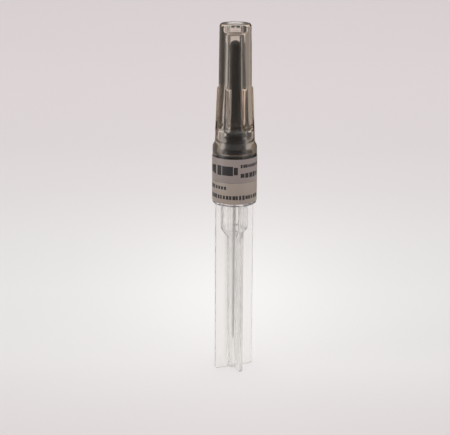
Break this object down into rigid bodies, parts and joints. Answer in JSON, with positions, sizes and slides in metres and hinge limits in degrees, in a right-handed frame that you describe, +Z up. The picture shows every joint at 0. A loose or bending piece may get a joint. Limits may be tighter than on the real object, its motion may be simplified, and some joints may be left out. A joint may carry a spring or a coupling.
{
  "type": "blood collection needle",
  "caption": "Capped double-ended blood collection needle with threaded hub and rubber sleeve, in a clear finned shield and a smoke-grey rear cap.",
  "frame": {"origin": "centre of the shield's closed end, on the surface that the capped needle stands on", "axes": "+Z up along the needle's axis towards the rear cap, -Y towards the side that the picture shows"},
  "size_m": [0.0102, 0.0102, 0.0808],
  "materials": {
    "clear_plastic": "clear, faintly milky",
    "smoke_plastic": "see-through smoke grey",
    "label_paper": "coated label paper with dark print fields",
    "black_plastic": "satin",
    "steel": "drawn tube",
    "yellow_resin": "see-through yellowish resin",
    "dark_rubber": "dull"
  },
  "bodies": {
    "shield": {"needle_shield": "clear_plastic", "seal_label_lower": "label_paper"},
    "needle": {"hub": "black_plastic", "cannula": "steel", "adhesive_bead": "yellow_resin", "rubber_sleeve": "dark_rubber"},
    "rear_cap": {"rear_cap": "smoke_plastic", "seal_label_upper": "label_paper"}
  },
  "joints": [
    {"name": "needle_slide", "type": "slide", "parent": "shield", "child": "needle", "axis": [0, 0, 1], "range_m": [0, 0.046]},
    {"name": "rear_cap_slide", "type": "slide", "parent": "needle", "child": "rear_cap", "axis": [0, 0, 1], "range_m": [0, 0.034]}
  ]
}
